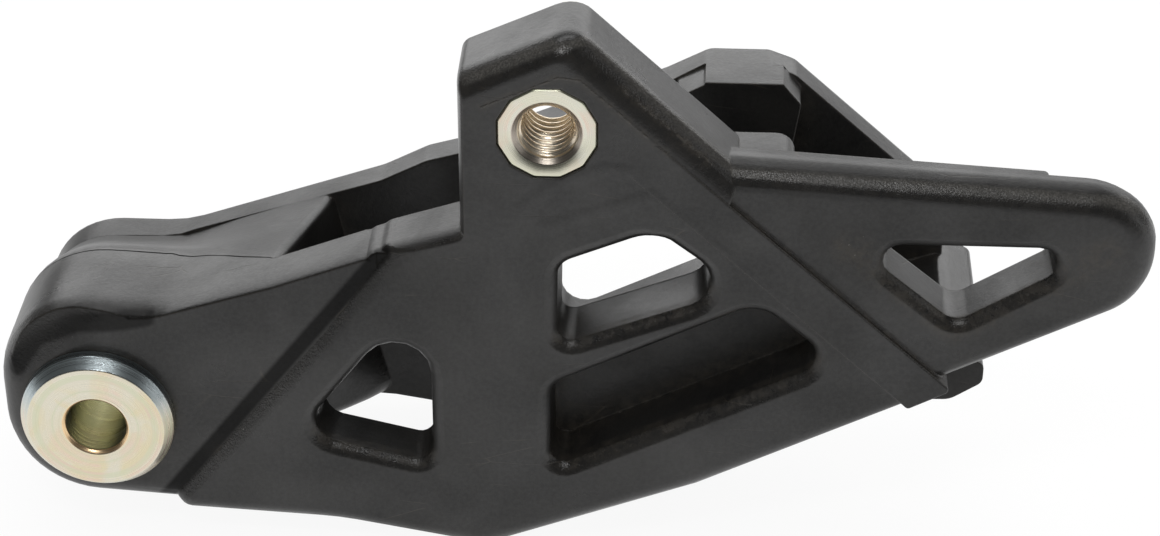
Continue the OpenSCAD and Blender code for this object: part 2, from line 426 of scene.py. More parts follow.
@dataclass(frozen=True)
class NylonFinish:
    """Moulded black nylon with a satin skin, light handling marks and some dust, with painted shade
    on two bands and a painted highlight and sheen on its rounded edges.

    Lines are pairs of ends in millimetres, as x and z of the outer face.
    """

    name: str = "black_nylon"
    dark: Colour = (0.0100, 0.0098, 0.0096)
    pale: Colour = (0.0185, 0.0178, 0.0168)
    dust: Colour = (0.066, 0.056, 0.043)
    # black: painted shade, laid over the bands along the step and the facet lines
    black: Colour = (0.002, 0.002, 0.002)
    # colour of the lint specks, and of the painted highlight on the crests
    lint_and_painted_highlight: Colour = (0.50, 0.48, 0.44)
    rough_low: float = 0.27
    rough_high: float = 0.42
    relief: float = 0.55
    depth: float = 0.1 * MM
    rim_radius: float = 0.45 * MM
    hollow: float = 6 * MM
    skin: tuple[float, float] = (2.2 * MM, 3.2 * MM)
    seam_z: tuple[float, float] = (9.0 * MM, 11.0 * MM)
    ear_x: tuple[float, float] = (50.0 * MM, 54.0 * MM)
    inside: tuple[float, float] = (5.0 * MM, 8.0 * MM)
    crisp_lines: tuple[Line, ...] = (
        (78.6, 45.3, 67.4, 55.6), (67.4, 55.6, 64.6, 56.0), (64.6, 56.0, 54.6, 51.4),
        (84.6, 43.2, 72.6, 54.2),
    )
    soft_lines: tuple[Line, ...] = (
        (73.4, 42.2, 70.6, 42.6), (70.6, 42.6, 63.4, 39.6), (63.4, 39.6, 59.6, 36.0),
        (59.6, 36.0, 58.9, 19.0), (86.0, 30.4, 76.8, 38.6), (76.8, 38.6, 62.6, 33.4),
    )
    # step and facet: lines along which bands of painted shade are laid
    step: tuple[Line, ...] = ((40.8, 28.0, 7.2, -15.6),)
    facet: tuple[Line, ...] = (
        (-11.2, 7.6, -8.0, 12.2), (-8.0, 12.2, -2.2, 14.8), (-2.2, 14.8, 4.0, 15.6),
        (4.0, 15.6, 7.6, 16.4),
    )
    seam: tuple[Line, ...] = (
        (-14.0, 17.0, 2.0, 17.0), (2.0, 17.0, 9.0, 16.8), (9.0, 16.8, 15.0, 14.4),
        (15.0, 14.4, 20.0, 11.8), (20.0, 11.8, 25.0, 9.0),
    )
    lips: tuple[Line, ...] = (
        (64.2, 13.7, 88.5, 23.2), (63.3, -6.9, 102.2, 12.7), (103.4, 31.0, 118.0, 18.9),
        (118.0, 18.9, 137.1, 31.0), (27.8, -1.9, 46.9, -6.5),
    )

    def nearest(self, effects: Effects, graph: Graph, place: Socket,
                lines: tuple[Line, ...]) -> Socket:
        """Gives the distance to the nearest of some lines.

        Args:
            effects: the shared node groups.
            graph: graph of the material.
            place: object coordinates.
            lines: the lines, in millimetres.

        Returns:
            The distance in metres.
        """
        best = None
        for x0, z0, x1, z1 in lines:
            gap = effects.place(graph, effects.line, Place=place, From=(x0 * MM, 0.0, z0 * MM),
                                To=(x1 * MM, 0.0, z1 * MM))["Distance"]
            best = gap if best is None else graph.math("MINIMUM", best, gap)
        return best

    def marks(self, effects: Effects, graph: Graph, place: Socket,
              parts: bpy.types.bpy_prop_collection) -> Masks:
        """Makes the masks of what lies at a set place on the body.

        Args:
            effects: the shared node groups.
            graph: graph of the material.
            place: object coordinates.
            parts: their X, Y and Z.

        Returns:
            Masks of the seam, the bands of painted shade, the broken lines, the dust beside them,
            the swells and the lips of openings, and of the ear and wing away from lips.
        """
        outer = graph.ramp(parts["Y"], *self.skin, 1.0, 0.0)
        seen_from_top = graph.node("ShaderNodeCombineXYZ")
        graph.feed(seen_from_top.inputs[0], parts["X"])
        graph.feed(seen_from_top.inputs[2], parts["Y"])
        seam = graph.ramp(self.nearest(effects, graph, seen_from_top.outputs[0], self.seam),
                          0.05 * MM, 0.17 * MM, 1.0, 0.0)
        seam = graph.times(seam, graph.ramp(parts["Z"], *self.seam_z))
        # the bands along the step and the facet are painted shade, standing for the dark they
        # reflect
        step = graph.ramp(self.nearest(effects, graph, place, self.step),
                          0.7 * MM, 1.5 * MM, 0.75, 0.0)
        facet = graph.ramp(self.nearest(effects, graph, place, self.facet),
                           0.9 * MM, 1.9 * MM, 0.6, 0.0)
        bands = graph.times(graph.most(step, facet), outer)
        crisp = self.nearest(effects, graph, place, self.crisp_lines)
        line = graph.times(graph.ramp(crisp, 0.05 * MM, 0.22 * MM, 1.0, 0.0), outer)
        broken = graph.ramp(graph.noise(place, 900.0, 3.0, 0.7), 0.42, 0.6, 0.15, 1.0)
        beside = graph.times(graph.ramp(crisp, 0.1 * MM, 1.0 * MM, 1.0, 0.0), outer)
        soft = self.nearest(effects, graph, place, self.soft_lines)
        swell = graph.times(graph.ramp(soft, 0.0, 1.6 * MM, 1.0, 0.0), outer)
        lip_gap = self.nearest(effects, graph, place, self.lips)
        lip = graph.times(outer, graph.ramp(parts["Y"], 0.05 * MM, 0.6 * MM))
        lip = graph.times(graph.ramp(lip_gap, 1.2 * MM, 3.6 * MM, 1.0, 0.0), lip)
        away = graph.times(graph.ramp(lip_gap, 3.0 * MM, 4.5 * MM),
                           graph.ramp(parts["X"], *self.ear_x))
        return {"seam": seam, "shade": graph.most(bands, seam),
                "line": graph.times(line, broken), "beside": beside,
                "swell": swell, "lip": lip, "away": away}

    def build(self, effects: Effects) -> bpy.types.Material:
        """Makes the material.

        Args:
            effects: the shared node groups.

        Returns:
            The material of the moulded body.
        """
        material, graph, shader = new_material(self.name)
        place = graph.node("ShaderNodeTexCoord").outputs["Object"]
        parts = graph.parts(place)
        masks = self.marks(effects, graph, place, parts)
        masks["fine"] = graph.ramp(graph.noise(place, 1500.0, 3.0, 0.7), 0.3, 0.7)
        scratches = effects.place(graph, effects.scratches, Place=place)
        masks["scratches"] = scratches["Mask"]
        grain = effects.place(graph, effects.grain, Place=place, Patch_scale=70.0,
                              Grain_scale=2600.0)
        edges = effects.place(graph, effects.edges, Radius=self.rim_radius, Reach=self.hollow)
        slopes = graph.parts(edges["Normal"])
        rounding = graph.times(graph.ramp(slopes["Z"], 0.1, 0.4),
                               graph.ramp(slopes["Z"], 0.8, 0.95, 1.0, 0.0))
        rounding = graph.times(rounding, graph.ramp(slopes["Y"], -0.2, -0.05, 1.0, 0.0))
        # crest: the upper band of the roundings, where a painted highlight is laid
        crest = graph.times(graph.ramp(slopes["Z"], 0.55, 0.74),
                            graph.ramp(slopes["Z"], 0.84, 0.93, 1.0, 0.0))
        inner = graph.times(graph.ramp(parts["Y"], *self.inside),
                            graph.ramp(slopes["Y"], -0.9, -0.6, 1.0, 0.0))
        masks.update(rounding=rounding, inner=inner,
                     worn=graph.times(masks["away"], graph.times(crest, rounding)))
        graph.feed(shader.inputs["Base Color"],
                   self.colour(effects, graph, place, masks, grain["Patches"], edges))
        graph.feed(shader.inputs["Roughness"], self.roughness(graph, place, masks))
        graph.feed(shader.inputs["Specular IOR Level"], self.shine(graph, place, masks))
        bump = graph.node("ShaderNodeBump")
        graph.feed(bump.inputs["Strength"], self.relief)
        graph.feed(bump.inputs["Distance"], self.depth)
        graph.feed(bump.inputs["Height"], self.height(graph, place, masks, grain["Height"]))
        graph.feed(bump.inputs["Normal"], edges["Normal"])
        graph.feed(shader.inputs["Normal"], bump.outputs[0])
        shader.inputs["IOR"].default_value = 1.5
        return material

    def colour(self, effects: Effects, graph: Graph, place: Socket, masks: Masks,
               patches: Socket, edges: Masks) -> Socket:
        """Gives the base colour, with painted shade on the bands and a painted highlight and sheen
        on the roundings, and adds the masks of dust and painted sheen and of lint to the others.

        Args:
            effects: the shared node groups.
            graph: graph of the material.
            place: object coordinates.
            masks: masks made so far, to which the dust and painted sheen and the lint are added.
            patches: mask of broad patches.
            edges: outputs of the group that finds edges and hollows.

        Returns:
            The base colour.
        """
        base = graph.blend(patches, rgba(self.dark), rgba(self.pale))
        base = graph.over(base, masks["fine"], 0.35, self.pale)
        base = graph.over(base, edges["Edges"], 0.3, self.dust)
        # the share from the up-facing roundings is a painted sheen along them; the hollows, the
        # places beside lines and the lips get real dust
        settled_dust_and_painted_sheen = graph.most(graph.times(masks["rounding"], 0.22), edges["Hollows"])
        for mask in (masks["beside"], masks["lip"]):
            settled_dust_and_painted_sheen = graph.most(settled_dust_and_painted_sheen, graph.times(mask, 0.8))
        mottle = graph.ramp(graph.noise(place, 700.0, 5.0, 0.7), 0.32, 0.72)
        dusty = graph.most(graph.times(settled_dust_and_painted_sheen, mottle), masks["line"])
        base = graph.over(base, dusty, 0.5, self.dust)
        base = graph.over(base, masks["scratches"], 0.35, self.dust)
        # painted shade on the bands along the step and the facet; the seam line is darkened with
        # them
        base = graph.over(base, masks["shade"], 0.9, self.black)
        # painted highlight: fine grains on the crests of the ear's and wing's roundings, lightened
        # towards the pale speck colour
        glint = graph.ramp(graph.noise(place, 3600.0, 4.0, 0.8), 0.4, 0.7, 0.04, 0.16)
        base = graph.blend(graph.times(masks["worn"], glint), base, rgba(self.lint_and_painted_highlight))
        specks = effects.place(graph, effects.specks, Place=place, Scale=240.0, Share=0.16)
        grit = effects.place(graph, effects.specks, Place=place, Scale=1100.0, Share=0.55)
        # grit on the dust and on the up-facing roundings; on the roundings the specks are a painted
        # sparkle
        settled_dust_and_painted_sheen = graph.ramp(graph.most(settled_dust_and_painted_sheen, masks["rounding"]), 0.15, 0.6)
        grit_and_painted_sparkle = graph.times(grit["Mask"], settled_dust_and_painted_sheen)
        lint = graph.most(specks["Mask"], graph.times(grit_and_painted_sparkle, 0.7))
        masks.update(dusty=dusty, lint=lint)
        return graph.blend(lint, base, rgba(self.lint_and_painted_highlight))

    def roughness(self, graph: Graph, place: Socket, masks: Masks) -> Socket:
        """Gives the roughness: smudged, dull where the dust and painted sheen lie and smooth on the
        rims.
        """
        smudge = graph.noise(place, 34.0, 4.0, 0.6, 0.8)
        rough = graph.ramp(smudge, 0.35, 0.65, self.rough_low, self.rough_high)
        rough = graph.math("ADD", rough, graph.times(masks["dusty"], 0.18))
        return graph.math("SUBTRACT", rough, graph.times(masks["rounding"], 0.16), clamp=True)

    def shine(self, graph: Graph, place: Socket, masks: Masks) -> Socket:
        """Gives the strength of reflections: uneven, and weak inside and in dark bands."""
        uneven = graph.ramp(graph.noise(place, 61.0, 3.0, 0.55, 0.5), 0.34, 0.66, 0.43, 0.55)
        fine = graph.times(graph.math("SUBTRACT", masks["fine"], 0.5), 0.09)
        level = graph.math("ADD", uneven, fine)
        dim = graph.most(graph.times(masks["inner"], 0.45), masks["shade"])
        return graph.times(level, graph.math("SUBTRACT", 1.0, dim))

    def height(self, graph: Graph, place: Socket, masks: Masks, grain: Socket) -> Socket:
        """Gives the relief of the skin, as shares of its depth.

        Args:
            graph: graph of the material.
            place: object coordinates.
            masks: the masks of the finish.
            grain: height of the patches and the grain.

        Returns:
            The height.
        """
        sparkle = graph.times(graph.noise(place, 4200.0, 2.0, 0.6),
                              graph.times(masks["rounding"], 0.9))
        height = graph.math("ADD", grain, graph.times(masks["fine"], 0.12))
        height = graph.math("ADD", height, sparkle)
        for mask, rise in (("lint", 0.5), ("line", 1.2), ("swell", 2.2)):
            height = graph.math("ADD", height, graph.times(masks[mask], rise))
        scored = graph.times(masks["scratches"], 0.35)
        return graph.math("SUBTRACT", graph.math("SUBTRACT", height, scored), masks["seam"])


@dataclass(frozen=True)
class PlatedFinish:
    """Turned steel with a thin yellow zinc plating that shimmers in patches.

    The radii, in metres, part the bore, its mouth, the face and the outer rim.
    """

    name: str
    centre: tuple[float, float]
    bore_r: float
    mouth_r: float
    rim_r: float
    silver: Colour = (0.74, 0.70, 0.58)
    yellow: Colour = (0.74, 0.66, 0.44)
    green: Colour = (0.66, 0.69, 0.50)
    pink: Colour = (0.78, 0.60, 0.50)
    bore: Colour = (0.62, 0.74, 0.66)
    mouth: Colour = (0.95, 0.66, 0.36)
    # rim: bluish colour of the outer rim; rim_low, rim_share and rim_fade lay it on weakly at the
    # bottom and strongly from rim_fade up, which is a painted reflection of the dim overhead
    rim: Colour = (0.50, 0.58, 0.62)
    rim_low: float = 0.12
    rim_share: float = 0.9
    rough: float = 0.3
    blur: float = 0.06 * MM
    rim_fade: float = 5.5 * MM
    depth: float = 0.012 * MM
    dot: Colour = (0.12, 0.1, 0.09)

    def zone(self, graph: Graph, across: Socket, part: Zone) -> Socket:
        """Gives the mask of one part of the piece.

        Args:
            graph: graph of the material.
            across: distance from the axis.
            part: the part that is wanted.

        Returns:
            A mask that is 1 there.
        """
        soft = self.blur
        if part is Zone.RIM:
            return graph.ramp(across, self.rim_r - soft, self.rim_r + soft)
        inside = graph.ramp(across, self.bore_r - soft, self.bore_r + soft, 1.0, 0.0)
        if part is Zone.BORE:
            return inside
        within = graph.ramp(across, self.mouth_r - soft, self.mouth_r + soft, 1.0, 0.0)
        return graph.math("SUBTRACT", within, inside, clamp=True)

    def build(self, effects: Effects) -> bpy.types.Material:
        """Makes the material.

        Args:
            effects: the shared node groups.

        Returns:
            The material of one plated steel piece.
        """
        material, graph, shader = new_material(self.name)
        place = graph.node("ShaderNodeTexCoord").outputs["Object"]
        centred = graph.vector("SUBTRACT", place, (self.centre[0], 0.0, self.centre[1]))
        parts = graph.parts(centred)
        squares = [graph.math("POWER", parts[axis], 2.0) for axis in "XZ"]
        across = graph.math("SQRT", graph.math("ADD", *squares))
        rings = graph.node("ShaderNodeCombineXYZ")
        graph.feed(rings.inputs[0], across)
        graph.feed(rings.inputs[1], parts["Y"])
        fine = graph.noise(rings.outputs[0], 5200.0, 3.0, 0.7)
        broad = graph.noise(rings.outputs[0], 1300.0, 2.0, 0.5)
        grain = effects.place(graph, effects.grain, Place=place, Patch_scale=240.0,
                              Grain_scale=2400.0)
        sheen = graph.noise(place, 130.0, 3.0, 0.55, 0.9)
        tint = graph.blend(graph.ramp(sheen, 0.38, 0.62, 0.0, 0.85), rgba(self.silver),
                           rgba(self.yellow))
        tint = graph.blend(graph.ramp(broad, 0.5, 0.64, 0.0, 0.55), tint, rgba(self.green))
        blush = graph.ramp(graph.noise(place, 105.0, 3.0, 0.6, 0.5), 0.44, 0.62, 0.0, 0.7)
        ringed = graph.ramp(graph.noise(rings.outputs[0], 2100.0, 2.0, 0.6), 0.36, 0.6)
        tint = graph.blend(graph.times(blush, ringed), tint, rgba(self.pink))
        tint = graph.over(tint, self.zone(graph, across, Zone.BORE), 0.85, self.bore)
        tint = graph.over(tint, self.zone(graph, across, Zone.MOUTH), 0.8, self.mouth)
        rim = self.zone(graph, across, Zone.RIM)
        # painted reflection: the rim colour is laid on more towards the top of the piece
        painted_top_reflection = graph.ramp(parts["Z"], 0.0, self.rim_fade, self.rim_low, self.rim_share)
        tint = graph.blend(graph.times(rim, painted_top_reflection), tint, rgba(self.rim))
        dots = effects.place(graph, effects.specks, Place=place, Scale=700.0, Share=0.12)
        tint = graph.over(tint, dots["Mask"], 0.6, self.dot)
        graph.feed(shader.inputs["Base Color"], tint)
        shader.inputs["Metallic"].default_value = 1.0
        graph.feed(shader.inputs["Roughness"],
                   graph.ramp(graph.math("ADD", fine, graph.times(broad, 0.5)),
                              0.5, 1.0, self.rough - 0.1, self.rough + 0.1))
        bump = graph.node("ShaderNodeBump")
        graph.feed(bump.inputs["Strength"], 0.5)
        graph.feed(bump.inputs["Distance"], self.depth)
        height = graph.math("ADD", fine, graph.times(grain["Height"], 0.8))
        pits = graph.times(graph.noise(place, 3400.0, 2.0, 0.6), graph.times(rim, 3.0))
        graph.feed(bump.inputs["Height"], graph.math("ADD", height, pits))
        graph.feed(shader.inputs["Normal"], bump.outputs[0])
        return material


def finish_mesh(name: str, shape: bmesh.types.BMesh, sharp: float) -> bpy.types.Object:
    """Turns a bmesh into a smooth-shaded object with sharp edges above an angle.

    Args:
        name: name of the piece.
        shape: its mesh, which is freed.
        sharp: angle in degrees past which an edge stays sharp.

    Returns:
        The object, linked to the scene.
    """
    mesh = bpy.data.meshes.new(name)
    for face in shape.faces:
        face.smooth = True
    for edge in shape.edges:
        edge.smooth = len(edge.link_faces) != 2 or edge.calc_face_angle(0) < math.radians(sharp)
    shape.to_mesh(mesh)
    shape.free()
    made = bpy.data.objects.new(name, mesh)
    bpy.context.scene.collection.objects.link(made)
    return made


def spun(profile: list[tuple[float, float]], segments: int) -> bmesh.types.BMesh:
    """Spins a closed profile once round the Y axis.

    Args:
        profile: radius and depth of each corner, in metres.
        segments: number of steps round the axis.

    Returns:
        A closed mesh whose faces look outward.
    """
    shape = bmesh.new()
    verts = [shape.verts.new((r, y, 0.0)) for r, y in profile]
    edges = [shape.edges.new((verts[i], verts[(i + 1) % len(verts)])) for i in range(len(verts))]
    bmesh.ops.spin(shape, geom=verts + edges, cent=(0, 0, 0), axis=(0, 1, 0), dvec=(0, 0, 0),
                   angle=math.tau, steps=segments, use_merge=True, use_duplicate=False)
    bmesh.ops.remove_doubles(shape, verts=shape.verts, dist=0.001 * MM)
    bmesh.ops.recalc_face_normals(shape, faces=shape.faces)
    return shape


@dataclass(frozen=True)
class Pull:
    """A line on the outer face that lowers what is near it. Sizes are in millimetres."""

    ends: Line
    drop: float
    reach: float

    def at(self, x: float, z: float) -> float:
        """Gives how far a place is lowered.

        Args:
            x: place along the guide.
            z: height of the place.

        Returns:
            The whole drop on the line, and nothing from the reach away.
        """
        x0, z0, x1, z1 = self.ends
        span = (x1 - x0, z1 - z0)
        along = ((x - x0) * span[0] + (z - z0) * span[1]) / math.hypot(*span) ** 2
        along = min(max(along, 0.0), 1.0)
        gap = math.hypot(x - x0 - along * span[0], z - z0 - along * span[1])
        return self.drop * max(1.0 - gap / self.reach, 0.0)


@dataclass
class MouldedBody:
    """The one-piece nylon body. The sizes that ease its shape are in millimetres.

    Pairs are the low and high end of a range, and spans are a start and a length.
    """

    node: bpy.types.Object
    near_wall: float = 9.1
    ear_wall: float = 13.8
    wall_y: float = 33.5
    parting: tuple[tuple[float, float], ...] = ((2, 17), (9, 16.8), (15, 14.4), (20, 11.8), (25, 9))
    block_top: tuple[float, float] = (8.0, 29.8)
    block_lift: float = 2.35
    block_start: float = 0.32
    start_span: tuple[float, float] = (2.0, 6.0)
    block_hump: float = 0.4
    block_foot: float = 9.0
    pad_y: float = 27.0
    pad_top: float = 40.6
    pad_skin: tuple[float, float] = (0.4, 0.3)
    step_edge: Line = (40.8, 28.5, 7.2, -15.6)
    step_depth: tuple[float, float] = (2.6, 3.6)
    step_skin: tuple[float, float] = (0.05, 0.3)
    step_length: tuple[float, float] = (1.5, 52.0)
    step_push: float = 0.75
    step_y: float = 0.02
    strip_line: Line = (38.6, 27.3, 44.0, 29.35)
    strip_y: float = 1.5
    strip_drop: float = 3.0
    rib_end: float = 35.0
    rib_skin: tuple[float, float] = (-0.05, -0.01)
    peak: tuple[float, float] = (56.0, 62.0)
    peak_shift: float = 1.1
    lower_edges: tuple[Pull, ...] = (
        Pull((56.0, -19.8, 84.0, -8.5), 0.65, 6.0), Pull((84.0, -8.5, 110.0, 4.8), 0.65, 6.0),
    )
    wing_edge: Pull = Pull((120.0, 11.1, 144.0, 24.2), 0.5, 5.0)
    wing_edge_x: float = 118.0
    wing_top_x: tuple[float, float] = (84.0, 60.0)
    wing_top_z: tuple[float, float] = (32.0, 7.0)
    window_top: Pull = Pull((64.4, 28.1, 77.1, 33.5), 0.95, 4.5)
    window_sill: Pull = Pull((27.8, -1.9, 46.9, -6.5), 1.1, 3.0)
    sill_y: float = 5.0
    sill_z: float = 4.0
    merge: float = 0.004 * MM
    flat: float = 0.05
    sharp: float = 24.0

    def parting_y(self, x: float) -> float:
        """Gives the depth of the parting line at a place along the guide."""
        for (x0, y0), (x1, y1) in zip(self.parting, self.parting[1:]):
            if x <= x1:
                return y0 + (y1 - y0) * max(x - x0, 0.0) / (x1 - x0)
        return self.parting[-1][1]

    def eased_block(self, x: float, y: float, z: float) -> float:
        """Gives the height of a vertex once the block meets the top of the inner wall."""
        start, end = self.block_top
        edge = self.parting_y(x)
        if not (edge < y < self.wall_y + 0.01 and x < end + 1.0 and z > 0):
            return z
        fallen = (y - edge) / (self.wall_y - edge)
        along = min(max((x - start) / (end - start), 0.0), 1.0)
        first = min(max((x - self.start_span[0]) / self.start_span[1], 0.0), 1.0)
        lift = self.block_lift * along + self.block_start * first
        lift += self.block_hump * 4.0 * along * (1.0 - along)
        return z + fallen * lift * min(z / self.block_foot, 1.0)

    def eased_step(self, x: float, y: float, z: float) -> tuple[float, float, float]:
        """Gives a vertex on the ramp down to the nose a place on a crisper ramp."""
        x0, z0, x1, z1 = self.step_edge
        span = Vector((x1 - x0, z1 - z0)).normalized()
        inward = Vector((-span.y, span.x))
        away = Vector((x, z)) - Vector((x0, z0))
        ranges = ((away.dot(inward), self.step_depth), (y, self.step_skin),
                  (away.dot(span), self.step_length))
        if all(low < value < high for value, (low, high) in ranges):
            return x - inward.x * self.step_push, self.step_y, z - inward.y * self.step_push
        return x, y, z

    def eased_edges(self, x: float, y: float, z: float) -> float:
        """Gives the height of a vertex near an edge or opening of the outer wall."""
        if y > self.ear_wall:
            return z
        drop = self.window_top.at(x, z)
        if y < self.near_wall:
            drop += max(pull.at(x, z) for pull in self.lower_edges)
            if x > self.wing_edge_x:
                drop += self.wing_edge.at(x, z)
            (start, length), (low, tall) = self.wing_top_x, self.wing_top_z
            if x > start and z > low:
                drop += (x - start) / length * min((z - low) / tall, 1.0)
            if y > self.sill_y and z < self.sill_z:
                drop += self.window_sill.at(x, z)
            x0, z0, x1, z1 = self.strip_line
            line = z0 + (z1 - z0) * (x - x0) / (x1 - x0)
            if x0 < x < x1 and line - self.strip_drop < z < line and y > self.strip_y:
                return line
        return z - drop

    def eased(self, place: Vector) -> Vector:
        """Gives a vertex its place in the smoothed body, at most 2.7 mm from the solid's.

        Args:
            place: the vertex on the solid, in metres.

        Returns:
            Its place on the smoothed body, in metres.
        """
        x, y, z = place / MM
        z = self.eased_block(x, y, z)
        x, y, z = self.eased_step(x, y, z)
        proud, flush = self.rib_skin
        if y < proud and z > self.rib_end:
            y = flush
        below, beyond = self.pad_skin
        if self.pad_y < y < self.wall_y + beyond and z > self.pad_top - below:
            z = self.pad_top
        z = self.eased_edges(x, y, z)
        low, top = self.peak
        if y < self.ear_wall and z > low:
            x += self.peak_shift * (z - low) / (top - low)
        return Vector((x, y, z)) * MM

    def build(self, material: bpy.types.Material) -> bpy.types.Object:
        """Makes the smoothed body.

        Args:
            material: its finish.

        Returns:
            The piece that stands for the solid.
        """
        shape = bmesh.new()
        shape.from_mesh(self.node.data)
        bmesh.ops.remove_doubles(shape, verts=shape.verts, dist=self.merge)
        for vert in shape.verts:
            vert.co = self.eased(vert.co)
        bmesh.ops.dissolve_limit(shape, angle_limit=math.radians(self.flat),
                                 verts=shape.verts, edges=shape.edges)
        made = finish_mesh("moulded_body", shape, self.sharp)
        made.data.materials.clear()
        made.data.materials.append(material)
        weights = made.modifiers.new("weights", "WEIGHTED_NORMAL")
        weights.keep_sharp = True
        weights.weight = 90
        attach(made, BODY)
        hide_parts("guide_body")
        return made


@dataclass
class FlangedBush:
    """The turned steel bush with its flange, in the nose of the guide."""

    bore_r: float = 4.2 * MM
    barrel_r: float = 6.5 * MM
    flange_r: float = 10.8 * MM
    flange_face: float = -1.7 * MM
    flange_back: float = 1.3 * MM
    end: float = 40.0 * MM
    bevel_w: float = 1.25 * MM
    bevel_t: float = 1.55 * MM
    mouth: float = 0.5 * MM
    break_edge: float = 0.16 * MM
    crease: float = math.radians(25)
    segments: int = 160

    def build(self, material: bpy.types.Material) -> bpy.types.Object:
        """Spins the profile of the bush and softens its edges.

        Args:
            material: its finish.

        Returns:
            The piece that stands for the solid.
        """
        profile = [
            (self.bore_r, self.flange_face + self.mouth),
            (self.bore_r + self.mouth, self.flange_face),
            (self.flange_r - self.bevel_w, self.flange_face),
            (self.flange_r, self.flange_face + self.bevel_t),
            (self.flange_r, self.flange_back),
            (self.barrel_r, self.flange_back),
            (self.barrel_r, self.end),
            (self.bore_r, self.end),
        ]
        shape = spun(profile, self.segments)
        creases = [e for e in shape.edges
                   if len(e.link_faces) == 2 and e.calc_face_angle(0) > self.crease]
        bmesh.ops.bevel(shape, geom=creases, offset=self.break_edge, offset_type="OFFSET",
                        affect="EDGES", segments=3, profile=0.5, material=-1)
        made = finish_mesh("bush", shape, 40.0)
        made.data.materials.append(material)
        weights = made.modifiers.new("weights", "WEIGHTED_NORMAL")
        weights.keep_sharp = True
        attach(made, BODY)
        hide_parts("flanged_bush")
        return made


@dataclass
class ThreadedInsert:
    """The twelve-sided steel insert with a coarse thread, in the ear of the guide."""

    x: float = 63.1 * MM
    z: float = 47.7 * MM
    depth: float = 12.0 * MM
    corner_r: float = 6.9 * MM
    sides: int = 12
    minor_r: float = 3.4 * MM
    major_r: float = 4.0 * MM
    mouth_r: float = 4.7 * MM
    front_chamfer: float = 0.35 * MM
    back_chamfer: float = 0.3 * MM
    wall_band: float = 0.1 * MM
    pitch: float = 1.25 * MM
    crest: float = 0.14
    flank: float = 0.68
    corner_share: float = 0.994
    segments: int = 96
    rows: int = 112

    def outer_r(self, angle: float) -> float:
        """Gives the radius of the outer wall at an angle about the axis."""
        part = math.tau / self.sides
        off = angle % part - part / 2
        return min(self.corner_r * math.cos(part / 2) / math.cos(part / 2 - abs(off)),
                   self.corner_r * self.corner_share)

    def thread_r(self, y: float, angle: float) -> float:
        """Gives the radius of the bore at a depth and an angle about the axis."""
        phase = (y / self.pitch + angle / math.tau) % 1.0
        rise = min(max((abs(phase - 0.5) * 2 - self.crest) / self.flank, 0.0), 1.0)
        cone = self.mouth_r - min(y, self.depth - y)
        return max(self.major_r + (self.minor_r - self.major_r) * rise, cone)

    def build(self, material: bpy.types.Material) -> bpy.types.Object:
        """Makes a pipe, cuts its thread by moving its wall, and puts it in its place.

        Args:
            material: its finish.

        Returns:
            The piece that stands for the solid.
        """
        loops = [(self.mouth_r, 0.0), (self.corner_r - self.front_chamfer, 0.0),
                 (self.corner_r, self.front_chamfer),
                 (self.corner_r, self.depth - self.back_chamfer),
                 (self.corner_r - self.back_chamfer, self.depth), (self.mouth_r, self.depth)]
        loops += [(self.minor_r, self.depth * (1 - i / self.rows)) for i in range(1, self.rows)]
        shape = spun(loops, self.segments)
        for vert in shape.verts:
            x, y, z = vert.co
            angle = math.atan2(z, x)
            radius = math.hypot(x, z)
            if radius > self.mouth_r + self.wall_band:
                radius *= self.outer_r(angle) / self.corner_r
            elif radius < self.mouth_r - self.wall_band:
                radius = self.thread_r(y, angle)
            vert.co = (radius * math.cos(angle) + self.x, y, radius * math.sin(angle) + self.z)
        made = finish_mesh("insert", shape, 34.0)
        made.data.materials.append(material)
        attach(made, BODY)
        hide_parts("threaded_insert")
        return made


@dataclass(frozen=True)
class SoftBox:
    """One soft studio lamp."""

    name: str
    at: tuple[float, float, float]
    target: tuple[float, float, float]
    size: tuple[float, float]
    radiance: float

    def build(self) -> bpy.types.Object:
        """Makes the lamp and turns it to its target."""
        lamp = bpy.data.lights.new(self.name, "AREA")
        lamp.shape = "RECTANGLE"
        lamp.size, lamp.size_y = self.size
        lamp.energy = self.radiance * math.pi * self.size[0] * self.size[1]
        made = bpy.data.objects.new(self.name, lamp)
        made.location = self.at
        away = Vector(self.at) - Vector(self.target)
        made.rotation_euler = away.to_track_quat("Z", "Y").to_euler()
        bpy.context.scene.collection.objects.link(made)
        return made


